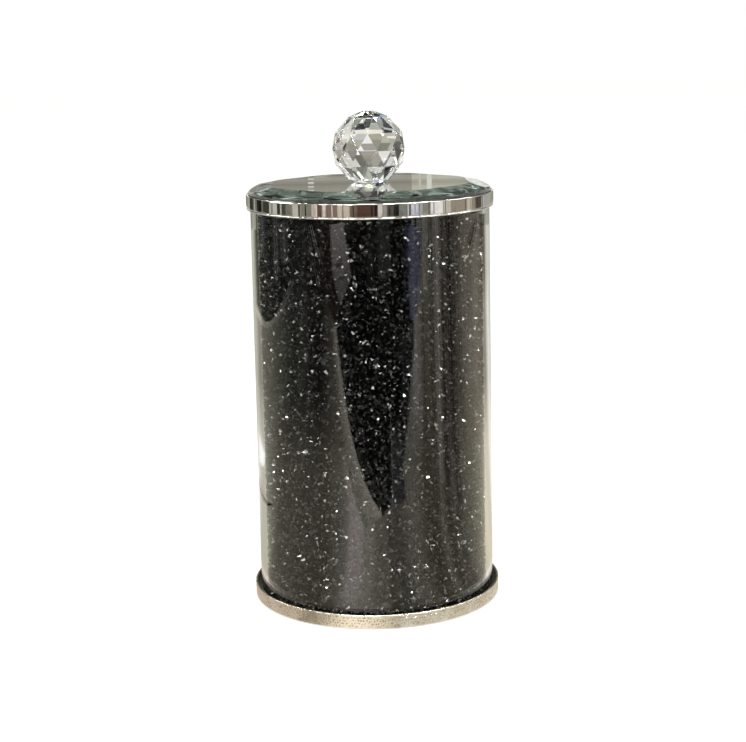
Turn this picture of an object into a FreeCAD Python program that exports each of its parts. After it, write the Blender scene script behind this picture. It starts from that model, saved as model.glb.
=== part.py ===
import FreeCAD, Part
import math
import os

# Tall round vanity jar with a lift-off lid.  A clear outer tube and an inner liner stand on a
# base disc inside a metal base ring, with crushed crystal packed between them.  The lid is a
# bevelled, mirror-backed glass disc in a chrome ring, with a plug and a seal below and a cut
# crystal ball as its knob.
# Millimetres, +Z up.  The origin is the middle of the underside, on the surface it stands on.

V = FreeCAD.Vector
UP = V(0, 0, 1)

# Outer tube
tube_radius = 48.4
tube_wall = 2.6
tube_length = 159.8

# Inner liner and the crystal layer around it
crystal_layer = 3.6
crystal_clearance = 0.05
chip_spacing = 8.1
chip_relief = 1.7
chip_depths = [0.0, 1.0, 0.35, 0.8, 0.1, 0.9, 0.5, 0.0, 0.7, 0.2, 1.0]
liner_wall = 1.6
liner_floor = 1.8
liner_inner_rounding = 1.5
liner_pad_height = 1.0
liner_pad_inset = 2.0

# Base: sheet metal ring, disc that carries the tube, foam foot pad
base_ring_height = 5.4
base_sheet = 0.8
base_flange_width = 5.0
base_edge_rounding = 0.3
base_disc_thickness = 2.0
base_disc_clearance = 0.1
foot_proud = 0.4
foot_clearance = 0.5
tube_bond_width = 1.6
tube_bond_height = 0.8

# Collar that closes the top of the double wall
collar_thickness = 1.2
collar_edge_inset = 0.2
collar_rib_depth = 1.2
collar_rib_clearance = 0.1

# Lid ring
lid_skirt_clearance = 0.6
lid_ring_height = 6.0
lid_ring_wall = 1.0
lid_rim_wall = 0.5
lid_rim_height = 0.5
lid_bead_height = 0.7
lid_bead_inset = 0.25
lid_bead_rounding = 0.3

# Lid core: disc with a hollow plug below it
lid_seat_gap = 0.3
core_thickness = 1.5
core_clearance = 0.05
plug_mouth_clearance = 2.2
plug_wall = 1.8
plug_depth = 8.5
plug_lip_width = 1.0
plug_lip_height = 1.0
plug_lip_level = 4.0

# Seal ring, free to turn on the plug
seal_running_clearance = 0.05
seal_end_clearance = 0.3
seal_mouth_clearance = 0.3
seal_fin_depth = 0.7
seal_fin_height = 0.8

# Bevelled glass, its mirror coat and the foam tape that holds it
tape_thickness = 0.8
tape_inset = 2.5
mirror_thickness = 0.2
mirror_inset = 0.1
glass_thickness = 4.0
glass_rim_clearance = 0.1
bevel_sides = 8
bevel_turn = 4.9
bevel_corner_inset = 6.7
bevel_drop = 2.5

# Crystal ball knob
knob_radius = 15.0
knob_flat_depth = 1.4
knob_sides = 12
knob_turn = 28.0
knob_row_latitude = 26.0
knob_crown_latitude = 57.0
knob_table_latitude = 80.0
knob_bond_thickness = 0.1
knob_bond_clearance = 0.3

# Heights and radii that follow from the sizes above
base_flange_top = foot_proud + base_sheet
base_ring_bore = tube_radius + tube_bond_width
base_ring_radius = base_ring_bore + base_sheet
base_ring_top = foot_proud + base_ring_height
disc_top = base_flange_top + base_disc_thickness
tube_bore = tube_radius - tube_wall
tube_top = disc_top + tube_length
liner_radius = tube_bore - crystal_layer
liner_bore = liner_radius - liner_wall
liner_bottom = disc_top + liner_pad_height
collar_top = tube_top + collar_thickness
collar_rib_bottom = tube_top - collar_rib_depth
core_bottom = collar_top + lid_seat_gap
core_top = core_bottom + core_thickness
mirror_bottom = core_top + tape_thickness
glass_bottom = mirror_bottom + mirror_thickness
glass_top = glass_bottom + glass_thickness
plug_radius = liner_bore - plug_mouth_clearance
lid_ring_bore = tube_radius + lid_skirt_clearance
lid_ring_radius = lid_ring_bore + lid_ring_wall
lid_rim_bore = lid_ring_radius - lid_rim_wall
lid_ring_top = mirror_bottom + lid_rim_height
lid_ring_bottom = lid_ring_top - lid_ring_height
glass_radius = lid_rim_bore - glass_rim_clearance
bevel_corner_radius = glass_radius - bevel_corner_inset
lip_top = core_bottom - plug_lip_level
knob_bottom = glass_top + knob_bond_thickness
knob_flat_height = knob_radius - knob_flat_depth
knob_centre = knob_bottom + knob_flat_height
knob_flat_latitude = -math.degrees(math.asin(knob_flat_height / knob_radius))
knob_flat_radius = knob_radius * math.cos(math.radians(knob_flat_latitude))


def turned(corners):
    """Solid of revolution about Z from (radius, height) corners, some with a third value,
    the rounding of that corner."""
    spots = [V(corner[0], 0, corner[1]) for corner in corners]
    roundings = [corner[2] if len(corner) > 2 else 0.0 for corner in corners]
    arriving = []
    leaving = []
    edges = []
    for index, spot in enumerate(spots):
        back = (spots[index - 1] - spot).normalize()
        ahead = (spots[(index + 1) % len(spots)] - spot).normalize()
        half_angle = back.getAngle(ahead) / 2
        reach = roundings[index] / math.tan(half_angle)
        arriving.append(spot + back * reach)
        leaving.append(spot + ahead * reach)
        if roundings[index] > 0:
            inward = (back + ahead).normalize()
            middle = spot + inward * (roundings[index] / math.sin(half_angle) - roundings[index])
            edges.append(Part.Arc(arriving[-1], middle, leaving[-1]).toShape())
    for index, start in enumerate(leaving):
        end = arriving[(index + 1) % len(arriving)]
        edges.append(Part.LineSegment(start, end).toShape())
    outline = Part.Wire(Part.__sortEdges__(edges))
    return Part.Face(outline).revolve(V(0, 0, 0), UP, 360)


def disc(radius, bottom, height):
    """Plain round disc centred on Z."""
    return Part.makeCylinder(radius, height, V(0, 0, bottom))


def hoop(bore, radius, bottom, height):
    """Plain tube centred on Z."""
    return disc(radius, bottom, height).cut(disc(bore, bottom, height))


def foot_pad():
    """Foam disc under the base, proud of the metal ring."""
    radius = base_ring_radius - base_flange_width - foot_clearance
    return disc(radius, 0, base_flange_top)


def base_ring():
    """Sheet metal ring with an inward flange at its foot."""
    flange_bore = base_ring_radius - base_flange_width
    return turned([
        (flange_bore, foot_proud),
        (base_ring_radius, foot_proud, base_edge_rounding),
        (base_ring_radius, base_ring_top, base_edge_rounding),
        (base_ring_bore, base_ring_top),
        (base_ring_bore, base_flange_top),
        (flange_bore, base_flange_top),
    ])


def base_disc():
    """Moulded disc on the flange of the base ring, which the tube and the liner stand on."""
    return disc(base_ring_bore - base_disc_clearance, base_flange_top, base_disc_thickness)


def tube_bond():
    """Bead of adhesive around the foot of the tube, inside the base ring."""
    return hoop(tube_radius, base_ring_bore, disc_top, tube_bond_height)


def outer_tube():
    """Clear outer wall of the jar."""
    return hoop(tube_bore, tube_radius, disc_top, tube_length)


def crystal_fill():
    """Crushed crystal packed between the tube and the liner, as one envelope.  Its outside is
    a coarse relief of flat facets, whose corners stand at different depths below the tube."""
    bore = liner_radius + crystal_clearance
    radius = tube_bore - crystal_clearance
    height = collar_rib_bottom - disc_top
    columns = round(2 * math.pi * radius / chip_spacing)
    rows = round(height / chip_spacing)
    rings = []
    for row in range(rows + 1):
        ring = []
        for column in range(columns):
            angle = 2 * math.pi * (column + 0.5 * (row % 2)) / columns
            share = chip_depths[(row * row + 4 * row + 7 * column) % len(chip_depths)]
            reach = radius - chip_relief * share
            level = disc_top + height * row / rows
            ring.append(V(reach * math.cos(angle), reach * math.sin(angle), level))
        rings.append(ring)
    facets = [rings[0], rings[-1]]
    for row, (lower, upper) in enumerate(zip(rings, rings[1:])):
        for here in range(columns):
            following = (here + 1) % columns
            if row % 2:
                facets.append([lower[here], lower[following], upper[following]])
                facets.append([upper[here], lower[here], upper[following]])
            else:
                facets.append([lower[here], lower[following], upper[here]])
                facets.append([upper[here], lower[following], upper[following]])
    faces = [Part.Face(Part.makePolygon(facet + facet[:1])) for facet in facets]
    solid = Part.Solid(Part.Shell(faces))
    if solid.Volume < 0:
        solid.reverse()
    return solid.cut(disc(bore, disc_top, height))


def liner_pad():
    """Foam tape disc under the liner."""
    return disc(liner_radius - liner_pad_inset, disc_top, liner_pad_height)


def inner_liner():
    """Cup that holds the contents of the jar."""
    floor_top = liner_bottom + liner_floor
    return turned([
        (0, liner_bottom),
        (liner_radius, liner_bottom),
        (liner_radius, tube_top),
        (liner_bore, tube_top),
        (liner_bore, floor_top, liner_inner_rounding),
        (0, floor_top),
    ])


def top_collar():
    """Ring on the rims of the tube and the liner, with a rib down into the gap between them."""
    rib_radius = tube_bore - collar_rib_clearance
    rib_bore = liner_radius + collar_rib_clearance
    return turned([
        (liner_bore, tube_top),
        (rib_bore, tube_top),
        (rib_bore, collar_rib_bottom),
        (rib_radius, collar_rib_bottom),
        (rib_radius, tube_top),
        (tube_radius - collar_edge_inset, tube_top),
        (tube_radius - collar_edge_inset, collar_top),
        (liner_bore, collar_top),
    ])


def lid_seal():
    """Silicone ring on the plug, with two fins that wipe the mouth of the jar."""
    bore = plug_radius + seal_running_clearance
    fin_radius = liner_bore - seal_mouth_clearance
    body_radius = fin_radius - seal_fin_depth
    bottom = lip_top + seal_end_clearance
    top = core_bottom - seal_end_clearance
    return turned([
        (bore, bottom),
        (fin_radius, bottom),
        (fin_radius, bottom + seal_fin_height),
        (body_radius, bottom + seal_fin_height),
        (body_radius, top - seal_fin_height),
        (fin_radius, top - seal_fin_height),
        (fin_radius, top),
        (bore, top),
    ])


def lid_core():
    """Moulded disc that carries the glass, with a hollow plug and the lip that keeps the seal on."""
    plug_bore = plug_radius - plug_wall
    plug_bottom = core_bottom - plug_depth
    lip_radius = plug_radius + plug_lip_width
    lip_bottom = lip_top - plug_lip_height
    return turned([
        (0, core_bottom),
        (plug_bore, core_bottom),
        (plug_bore, plug_bottom),
        (plug_radius, plug_bottom),
        (plug_radius, lip_bottom),
        (lip_radius, lip_bottom),
        (lip_radius, lip_top),
        (plug_radius, lip_top),
        (plug_radius, core_bottom),
        (lid_ring_bore - core_clearance, core_bottom),
        (lid_ring_bore - core_clearance, core_top),
        (0, core_top),
    ])


def lid_ring():
    """Chrome ring around the lid: skirt, rolled bead at its foot and rim around the glass."""
    bead_top = lid_ring_bottom + lid_bead_height
    bead_radius = lid_ring_radius - lid_bead_inset
    return turned([
        (lid_ring_bore, lid_ring_bottom),
        (bead_radius, lid_ring_bottom, lid_bead_rounding),
        (bead_radius, bead_top),
        (lid_ring_radius, bead_top + lid_bead_inset),
        (lid_ring_radius, lid_ring_top),
        (lid_rim_bore, lid_ring_top),
        (lid_rim_bore, mirror_bottom),
        (lid_ring_bore, mirror_bottom),
    ])


def bonding_tape():
    """Foam tape disc between the lid core and the mirror."""
    return disc(lid_ring_bore - tape_inset, core_top, tape_thickness)


def mirror_backing():
    """Silver and paint coat on the underside of the glass."""
    return disc(glass_radius - mirror_inset, mirror_bottom, mirror_thickness)


def bevelled_glass():
    """Round glass disc whose top is ground to flat facets around a many-sided table."""
    table_apothem = bevel_corner_radius * math.cos(math.pi / bevel_sides)
    slope = math.degrees(math.atan2(bevel_drop, glass_radius - table_apothem))
    shape = disc(glass_radius, glass_bottom, glass_thickness)
    for side in range(bevel_sides):
        cutter = Part.makeBox(glass_radius, 2 * glass_radius, glass_thickness)
        cutter.translate(V(0, -glass_radius, 0))
        cutter.rotate(V(0, 0, 0), V(0, 1, 0), slope)
        cutter.translate(V(table_apothem, 0, glass_top))
        cutter.rotate(V(0, 0, 0), UP, bevel_turn + side * 360 / bevel_sides)
        shape = shape.cut(cutter)
    return shape


def knob_bond():
    """Film of clear adhesive between the glass and the flat of the ball."""
    return disc(knob_flat_radius - knob_bond_clearance, glass_top, knob_bond_thickness)


def knob_ring(latitude, count, turn):
    """Corners of the cut ball at one latitude, evenly spaced round it."""
    corners = []
    for step in range(count):
        angle = math.radians(turn + step * 360 / count)
        flat = knob_radius * math.cos(math.radians(latitude))
        height = knob_centre + knob_radius * math.sin(math.radians(latitude))
        corners.append(V(flat * math.cos(angle), flat * math.sin(angle), height))
    return corners


def crystal_knob():
    """Cut crystal ball: bands of triangles between rings of corners that are each half a step
    round from the one below, a small table on top and a flat below."""
    latitudes = [
        knob_flat_latitude,
        -knob_crown_latitude,
        -knob_row_latitude,
        0,
        knob_row_latitude,
        knob_crown_latitude,
    ]
    half_step = 180 / knob_sides
    rings = []
    for row, latitude in enumerate(latitudes):
        rings.append(knob_ring(latitude, knob_sides, knob_turn + row * half_step))
    facets = [rings[0]]
    for lower, upper in zip(rings, rings[1:]):
        for here in range(knob_sides):
            following = (here + 1) % knob_sides
            facets.append([lower[here], lower[following], upper[here]])
            facets.append([upper[here], lower[following], upper[following]])
    crown = rings[-1]
    table_turn = knob_turn + len(rings) * half_step
    table = knob_ring(knob_table_latitude, knob_sides // 2, table_turn)
    for side, corner in enumerate(table):
        left = crown[2 * side]
        right = crown[2 * side + 1]
        next_left = crown[(2 * side + 2) % knob_sides]
        next_corner = table[(side + 1) % len(table)]
        facets.append([left, right, corner])
        facets.append([right, next_left, next_corner, corner])
    facets.append(table)
    faces = [Part.Face(Part.makePolygon(facet + facet[:1])) for facet in facets]
    solid = Part.Solid(Part.Shell(faces))
    if solid.Volume < 0:
        solid.reverse()
    return solid


nodes = [
    foot_pad,
    base_ring,
    base_disc,
    tube_bond,
    outer_tube,
    crystal_fill,
    liner_pad,
    inner_liner,
    top_collar,
    lid_seal,
    lid_core,
    lid_ring,
    bonding_tape,
    mirror_backing,
    bevelled_glass,
    knob_bond,
    crystal_knob,
]

os.makedirs("parts", exist_ok=True)
for make in nodes:
    shape = make()
    shape.exportStep("parts/" + make.__name__ + ".step")
    print(make.__name__, shape.isValid(), len(shape.Solids), round(shape.Volume, 1), shape.BoundBox)
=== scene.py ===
import math

import bmesh
import bpy
import numpy
from mathutils import Matrix, Vector


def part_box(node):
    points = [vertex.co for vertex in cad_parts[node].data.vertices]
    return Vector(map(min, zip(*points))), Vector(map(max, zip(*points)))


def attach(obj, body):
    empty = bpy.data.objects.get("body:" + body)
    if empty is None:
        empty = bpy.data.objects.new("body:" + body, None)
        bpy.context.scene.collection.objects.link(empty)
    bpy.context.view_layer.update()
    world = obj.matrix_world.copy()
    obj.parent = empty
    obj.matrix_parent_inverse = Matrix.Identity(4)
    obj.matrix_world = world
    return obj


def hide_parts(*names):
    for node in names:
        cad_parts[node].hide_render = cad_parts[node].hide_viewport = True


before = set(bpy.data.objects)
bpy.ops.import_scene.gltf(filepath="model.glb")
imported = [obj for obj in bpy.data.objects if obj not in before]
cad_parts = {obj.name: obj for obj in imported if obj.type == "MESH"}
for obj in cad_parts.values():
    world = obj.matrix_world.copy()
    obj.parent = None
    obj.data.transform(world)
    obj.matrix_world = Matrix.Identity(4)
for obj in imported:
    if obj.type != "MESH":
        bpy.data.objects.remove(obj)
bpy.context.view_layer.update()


# ---- Foot pad ----------------------------------------------------------------------------
# A disc of black closed-cell EVA foam, punched from sheet and stuck under the base with its
# own adhesive.  It stands a little proud of the metal ring and is what the jar rests on.

MM = 0.001


def linear(code):
    """A colour written as an sRGB hex code, as the four linear values a socket takes."""
    parts = [int(code[start:start + 2], 16) / 255 for start in (1, 3, 5)]
    return [p / 12.92 if p <= 0.04045 else ((p + 0.055) / 1.055) ** 2.4 for p in parts] + [1.0]


def node(material, kind, sockets=None, stops=(), **settings):
    """Adds one node to a material or the world, of a kind that Blender names ShaderNode and
    that word.  It takes its settings, then its sockets: each gets a value, a colour's hex
    code, an output socket, or a node whose first output it is linked to.  A colour ramp has
    stops as well, each a position with a hex code or the level of a grey."""
    made = material.node_tree.nodes.new("ShaderNode" + kind)
    for name, value in settings.items():
        setattr(made, name, value)
    for name, value in (sockets or {}).items():
        if isinstance(value, bpy.types.Node):
            value = value.outputs[0]
        if isinstance(value, bpy.types.NodeSocket):
            material.node_tree.links.new(value, made.inputs[name])
        else:
            made.inputs[name].default_value = linear(value) if isinstance(value, str) else value
    for index, (position, tone) in enumerate(stops):
        if index == len(made.color_ramp.elements):
            made.color_ramp.elements.new(1.0)
        stop = made.color_ramp.elements[index]
        stop.position = position
        stop.color = linear(tone) if isinstance(tone, str) else [tone, tone, tone, 1.0]
    return made


def plain_finish(name):
    """A new material with an empty node tree."""
    made = bpy.data.materials.new(name)
    made.use_nodes = True
    made.node_tree.nodes.clear()
    return made


def finish_named(name):
    """A new material, and the place on its piece that its patterns are worked out from."""
    made = plain_finish(name)
    return made, node(made, "TexCoord").outputs["Object"]


def coat(node_name, material):
    """Gives a CAD node that stays as it is the material, in every one of its slots."""
    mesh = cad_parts[node_name].data
    if not mesh.materials:
        mesh.materials.append(material)
    for index in range(len(mesh.materials)):
        mesh.materials[index] = material


# Matt black foam: the eye gets no highlight, only the open skin of its cells, drawn at 0.6 mm
# because the real ones are too fine to show.
eva_foam, place = finish_named("eva_foam_black")
cells = node(eva_foam, "TexVoronoi", {"Vector": place, "Scale": 1 / (0.6 * MM)})
skin = node(eva_foam, "Bump", {"Height": cells, "Strength": 0.5, "Distance": 0.1 * MM})
tone = node(eva_foam, "ValToRGB", {"Fac": cells}, stops=[(0.0, "#141414"), (0.8, "#26262A")])
shader = node(eva_foam, "BsdfPrincipled", {"Base Color": tone, "Roughness": 0.92, "Normal": skin})
node(eva_foam, "OutputMaterial", {"Surface": shader})
coat("foot_pad", eva_foam)


# ---- Base ring ---------------------------------------------------------------------------
# A strip of 0.8 mm steel, rolled into a ring with an inward flange at its foot, with four
# staggered rows of small pits pressed into its face, then plated with satin nickel.

EDGE_RUN = 0.04 * MM
WELD = 0.001 * MM


def rounded(corners, steps=5):
    """The outline of a turned piece as (radius, height) points.  A corner may have a third
    value, its rounding.  Long straight runs get a point near each end, which keeps the
    shading of flat and cylindrical faces true."""
    outline = []
    for index, corner in enumerate(corners):
        spot = Vector(corner[:2])
        back = (Vector(corners[index - 1][:2]) - spot).normalized()
        ahead = (Vector(corners[(index + 1) % len(corners)][:2]) - spot).normalized()
        radius = corner[2] if len(corner) > 2 else 0.0
        if radius == 0:
            outline.append(spot)
            continue
        half = back.angle(ahead) / 2
        start = spot + back * (radius / math.tan(half))
        end = spot + ahead * (radius / math.tan(half))
        centre = spot + (back + ahead).normalized() * (radius / math.sin(half))
        sweep = (start - centre).angle_signed(end - centre)
        for step in range(steps + 1):
            arm = (start - centre).copy()
            arm.rotate(Matrix.Rotation(-sweep * step / steps, 2))
            outline.append(centre + arm)
    points = []
    for index, spot in enumerate(outline):
        run = outline[(index + 1) % len(outline)] - spot
        points.append(spot)
        if run.length > 10 * EDGE_RUN:
            points.append(spot + run.normalized() * EDGE_RUN)
            points.append(spot + run - run.normalized() * EDGE_RUN)
    return points


def turned(name, outline, around, dent=None):
    """A closed turned mesh from (radius, height) points.  dent, if given, takes angles,
    radii and heights and returns the new radii."""
    angles = numpy.arange(around) * 2 * math.pi / around
    radii = numpy.array([[spot[0]] * around for spot in outline])
    heights = numpy.array([[spot[1]] * around for spot in outline])
    if dent:
        radii = dent(angles[None, :], radii, heights)
    spots = numpy.stack([radii * numpy.cos(angles), radii * numpy.sin(angles), heights], -1)
    count = len(outline)
    faces = []
    for row in range(count):
        here = row * around
        up = ((row + 1) % count) * around
        for step in range(around):
            following = (step + 1) % around
            faces.append((here + step, here + following, up + following, up + step))
    mesh = bpy.data.meshes.new(name)
    mesh.from_pydata(spots.reshape(-1, 3).tolist(), [], faces)
    form = bmesh.new()
    form.from_mesh(mesh)
    bmesh.ops.remove_doubles(form, verts=form.verts, dist=WELD)
    bmesh.ops.recalc_face_normals(form, faces=form.faces)
    form.to_mesh(mesh)
    form.free()
    return shown(name, mesh, crease=32)


def shown(name, mesh, crease=None):
    """An object in the scene for a mesh: smooth up to a crease angle in degrees, or flat."""
    made = bpy.data.objects.new(name, mesh)
    bpy.context.scene.collection.objects.link(made)
    if crease:
        mesh.shade_smooth()
        mesh.set_sharp_from_angle(angle=math.radians(crease))
    return made


def place_in(piece, material, body, slot, *nodes):
    """The piece's material, the body it rides on, its slot, which is not used, and the CAD nodes
    it stands for.
    """
    piece.data.materials.append(material)
    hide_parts(*nodes)
    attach(piece, body)


low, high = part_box("base_ring")
ring_radius = min(high[0], high[1], -low[0], -low[1])
ring_bottom = low[2]
ring_top = high[2]
SHEET = 0.8 * MM
FLANGE = 5.0 * MM
PIT_PITCH = 1.1 * MM
PIT_DEPTH = 0.26 * MM
PIT_RADIUS = 0.3 * MM
PIT_ROWS = 4
PLAIN_EDGE = 0.55 * MM
FACE_STEPS = 22
STEPS_PER_PIT = 5
pits_around = round(2 * math.pi * ring_radius / PIT_PITCH)
row_pitch = (ring_top - ring_bottom - 2 * PLAIN_EDGE) / PIT_ROWS
pit_chance = numpy.random.default_rng(3)
pit_shift = pit_chance.uniform(-0.3, 0.3, (2, PIT_ROWS, pits_around))
pit_depths = PIT_DEPTH * pit_chance.uniform(0.4, 1.0, (PIT_ROWS, pits_around))


def pitted(angles, radii, heights):
    """Presses the rows of pits into the outer face, each a little off its place."""
    row = (heights - ring_bottom - PLAIN_EDGE) / row_pitch
    nearest = numpy.clip(numpy.floor(row), 0, PIT_ROWS - 1).astype(int)
    turn = angles / (2 * math.pi) * pits_around + 0.5 * (nearest % 2)
    pit = numpy.floor(turn).astype(int) % pits_around
    across = (turn - numpy.floor(turn) - 0.5 - pit_shift[0, nearest, pit]) * PIT_PITCH
    upward = (row - nearest - 0.5 - pit_shift[1, nearest, pit]) * row_pitch
    away = (across ** 2 + upward ** 2) / PIT_RADIUS ** 2
    outer = radii > ring_radius - WELD
    return radii - numpy.where(outer, pit_depths[nearest, pit] * numpy.exp(-away), 0.0)


ring_outline = rounded([
    (ring_radius - FLANGE, ring_bottom),
    (ring_radius, ring_bottom, 0.3 * MM),
    (ring_radius, ring_top, 0.3 * MM),
    (ring_radius - SHEET, ring_top, 0.2 * MM),
    (ring_radius - SHEET, ring_bottom + SHEET),
    (ring_radius - FLANGE, ring_bottom + SHEET),
])
fine_outline = []
for spot, following in zip(ring_outline, ring_outline[1:] + ring_outline[:1]):
    fine_outline.append(spot)
    if min(spot[0], following[0]) > ring_radius - WELD and abs(following[1] - spot[1]) > MM:
        for step in range(1, FACE_STEPS):
            fine_outline.append(spot + (following - spot) * step / FACE_STEPS)
base_ring = turned("base_ring_sheet", fine_outline, pits_around * STEPS_PER_PIT, pitted)

# Satin nickel over steel: a warm champagne grey with a soft spread highlight, and painted shade
# that darkens the pits.
satin_nickel, place = finish_named("satin_nickel_plate")
lines = node(satin_nickel, "TexNoise", {"Vector": place, "Scale": 1 / (5 * MM), "Detail": 4.0})
gloss = node(satin_nickel, "ValToRGB", {"Fac": lines}, stops=[(0.3, 0.2), (0.7, 0.34)])
plate = node(satin_nickel, "ValToRGB", {"Fac": lines}, stops=[(0.3, "#CFC8B7"), (0.7, "#DDD8CB")])
flat = node(satin_nickel, "VectorMath", {0: place, 1: (1, 1, 0)}, operation="MULTIPLY")
reach = node(satin_nickel, "VectorMath", {0: flat}, operation="LENGTH").outputs["Value"]
# Painted shade: the deeper a spot lies in a pit, the darker its tone.
pit_shade = node(satin_nickel, "MapRange", {
    "Value": reach, "From Min": ring_radius - 0.22 * MM, "From Max": ring_radius - 0.03 * MM,
    "To Min": 0.85, "To Max": 0.0})
tone = node(satin_nickel, "MixRGB", {"Fac": pit_shade, "Color1": plate, "Color2": "#8E826C"})
skin = node(satin_nickel, "Bump", {"Height": lines, "Strength": 0.15, "Distance": 0.02 * MM})
shader = node(satin_nickel, "BsdfPrincipled", {
    "Base Color": tone, "Metallic": 1.0, "Roughness": gloss, "Normal": skin})
node(satin_nickel, "OutputMaterial", {"Surface": shader})
place_in(base_ring, satin_nickel, "jar", "base_ring_metal", "base_ring")


# ---- Base disc ---------------------------------------------------------------------------
# A flat disc moulded in black ABS.  It drops into the base ring, rests on its flange and
# carries the tube and the liner.

# Moulded ABS: near black, with a low sheen from the spark-eroded mould, whose grain is drawn
# at 0.5 mm because the real one is too fine to show.
moulded_abs, place = finish_named("moulded_black_abs")
grain = node(moulded_abs, "TexNoise", {"Vector": place, "Scale": 1 / (0.5 * MM), "Detail": 4.0})
gloss = node(moulded_abs, "ValToRGB", {"Fac": grain}, stops=[(0.3, 0.36), (0.7, 0.52)])
skin = node(moulded_abs, "Bump", {"Height": grain, "Strength": 0.3, "Distance": 0.03 * MM})
shader = node(moulded_abs, "BsdfPrincipled", {
    "Base Color": "#111112", "Roughness": gloss, "IOR": 1.53, "Normal": skin})
node(moulded_abs, "OutputMaterial", {"Surface": shader})
coat("base_disc", moulded_abs)


# ---- Tube bond ---------------------------------------------------------------------------
# A bead of black silicone run into the gap between the tube and the base ring, and left to
# cure with a slightly uneven skin.

# Cured silicone: black and half glossy, with slow waves left by the nozzle.
black_silicone, place = finish_named("cured_black_silicone")
waves = node(black_silicone, "TexNoise", {"Vector": place, "Scale": 1 / (5 * MM), "Detail": 2.0})
skin = node(black_silicone, "Bump", {"Height": waves, "Strength": 0.6, "Distance": 0.5 * MM})
gloss = node(black_silicone, "ValToRGB", {"Fac": waves}, stops=[(0.3, 0.28), (0.7, 0.42)])
shader = node(black_silicone, "BsdfPrincipled", {
    "Base Color": "#0A0A0A", "Roughness": gloss, "IOR": 1.41, "Normal": skin})
node(black_silicone, "OutputMaterial", {"Surface": shader})
coat("tube_bond", black_silicone)


# ---- Outer tube --------------------------------------------------------------------------
# A length of drawn soda-lime glass tube with a 2.6 mm wall, cut and fire-polished at both
# ends.  It stands on the base disc and is held by the silicone bead.

TUBE_WALL = 2.6 * MM
TUBE_STEPS = 384
FIRED_EDGE = 0.4 * MM
low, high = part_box("outer_tube")
tube_radius = high[0]
tube_bottom = low[2]
tube_top = high[2]
tube_bore = tube_radius - TUBE_WALL
tube = turned("outer_glass_tube", rounded([
    (tube_bore, tube_bottom, FIRED_EDGE),
    (tube_radius, tube_bottom, FIRED_EDGE),
    (tube_radius, tube_top, FIRED_EDGE),
    (tube_bore, tube_top, FIRED_EDGE),
]), TUBE_STEPS)

# Clear soda-lime glass: colourless on its face, faintly green where the eye looks along the
# wall, with the very slow ripples of drawn tube.
tube_glass, place = finish_named("clear_drawn_glass")
stretch = node(tube_glass, "Mapping", {"Vector": place, "Scale": (1, 1, 0.12)})
ripples = node(tube_glass, "TexNoise", {"Vector": stretch, "Scale": 1 / (14 * MM), "Detail": 1.0})
skin = node(tube_glass, "Bump", {"Height": ripples, "Strength": 0.1, "Distance": 0.03 * MM})
shader = node(tube_glass, "BsdfPrincipled", {
    "Base Color": (1, 1, 1, 1), "Roughness": 0.0, "IOR": 1.5, "Transmission Weight": 1.0,
    "Normal": skin})
depth = node(tube_glass, "VolumeAbsorption", {"Color": (0.9, 0.945, 0.88, 1), "Density": 19.0})
node(tube_glass, "OutputMaterial", {"Surface": shader, "Volume": depth})
place_in(tube, tube_glass, "jar", "tube_glass", "outer_tube")


# ---- Liner pad and inner liner -----------------------------------------------------------
# A foam tape disc, and on it the cup that holds the contents: deep-moulded in glossy black
# polystyrene, with a rounded corner at its floor.

# Foam tape: off-white closed-cell foam, its fine pores drawn at 0.7 mm so that they show.
foam_tape, place = finish_named("white_foam_tape")
cells = node(foam_tape, "TexVoronoi", {"Vector": place, "Scale": 1 / (0.7 * MM)})
skin = node(foam_tape, "Bump", {"Height": cells, "Strength": 0.4, "Distance": 0.1 * MM})
tone = node(foam_tape, "ValToRGB", {"Fac": cells}, stops=[(0.0, "#D6D3CB"), (0.8, "#EDEBE4")])
shader = node(foam_tape, "BsdfPrincipled", {"Base Color": tone, "Roughness": 0.85, "Normal": skin})
node(foam_tape, "OutputMaterial", {"Surface": shader})
coat("liner_pad", foam_tape)

LINER_WALL = 1.6 * MM
LINER_FLOOR = 1.8 * MM
LINER_STEPS = 256
low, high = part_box("inner_liner")
liner_radius = high[0]
liner_bottom = low[2]
liner_top = high[2]
liner_bore = liner_radius - LINER_WALL
liner_floor = liner_bottom + LINER_FLOOR
liner = turned("inner_liner_cup", rounded([
    (0, liner_bottom),
    (liner_radius, liner_bottom, 0.4 * MM),
    (liner_radius, liner_top),
    (liner_bore, liner_top),
    (liner_bore, liner_floor, 1.5 * MM),
    (0, liner_floor),
]), LINER_STEPS)

# Glossy polystyrene: deep black with a clear highlight, faint flow marks and rub marks.
liner_plastic, place = finish_named("glossy_black_polystyrene")
flow = node(liner_plastic, "TexNoise", {"Vector": place, "Scale": 1 / (18 * MM), "Detail": 3.0})
gloss = node(liner_plastic, "ValToRGB", {"Fac": flow}, stops=[(0.35, 0.1), (0.7, 0.24)])
skin = node(liner_plastic, "Bump", {"Height": flow, "Strength": 0.2, "Distance": 0.2 * MM})
shader = node(liner_plastic, "BsdfPrincipled", {
    "Base Color": "#0C0C0E", "Roughness": gloss, "IOR": 1.59, "Normal": skin})
node(liner_plastic, "OutputMaterial", {"Surface": shader})
place_in(liner, liner_plastic, "jar", "liner_plastic", "inner_liner")


# ---- Crushed crystal ---------------------------------------------------------------------
# Chips of crushed black glass, about 1.4 to 3.8 mm across, some of them silvered.  They are
# poured loose between the tube and the liner and are held only by each other.

low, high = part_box("crystal_fill")
WALL_GAP = 0.08 * MM
END_GAP = 0.1 * MM
fill_radius = tube_bore - WALL_GAP
fill_bore = liner_radius + WALL_GAP
fill_bottom = low[2] + END_GAP
fill_top = high[2] - END_GAP
CHIP_SHAPES = 28
ROW_PITCH = 0.87
JITTER = 0.42
chance = numpy.random.default_rng(11)


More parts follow.
